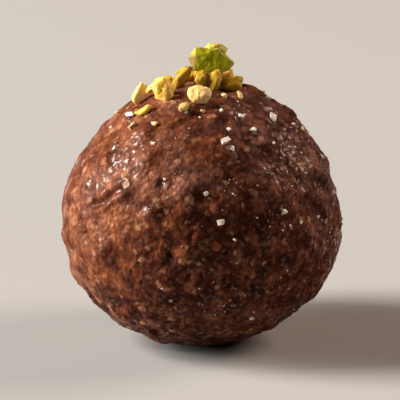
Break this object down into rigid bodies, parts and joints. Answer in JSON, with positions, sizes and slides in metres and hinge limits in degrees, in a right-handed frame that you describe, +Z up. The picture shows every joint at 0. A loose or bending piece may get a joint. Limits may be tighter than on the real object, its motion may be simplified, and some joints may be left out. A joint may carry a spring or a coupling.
{
  "type": "chocolate ladoo",
  "caption": "Hand-rolled ball of chocolate, dates and ground nuts, crowned with chopped pistachio and dusted with coarse sugar, a sweet that rests on a small flat foot.",
  "frame": {"origin": "middle of the flat foot that the ladoo rests on", "axes": "+Z up through the chopped nuts on top, -Y towards the side that faces the viewer, +X to that viewer's right"},
  "size_m": [0.0409, 0.0391, 0.044],
  "materials": {
    "ladoo_mass": "moist, grainy chocolate and date paste",
    "pistachio": "chopped green and yellow pistachio kernel",
    "pale_nut": "cream-coloured crumbs of peeled nut, and darker bits of roasted nut set in the paste",
    "sugar": "coarse white sugar"
  },
  "bodies": {
    "root": {"ladoo": "ladoo_mass"}
  },
  "joints": []
}
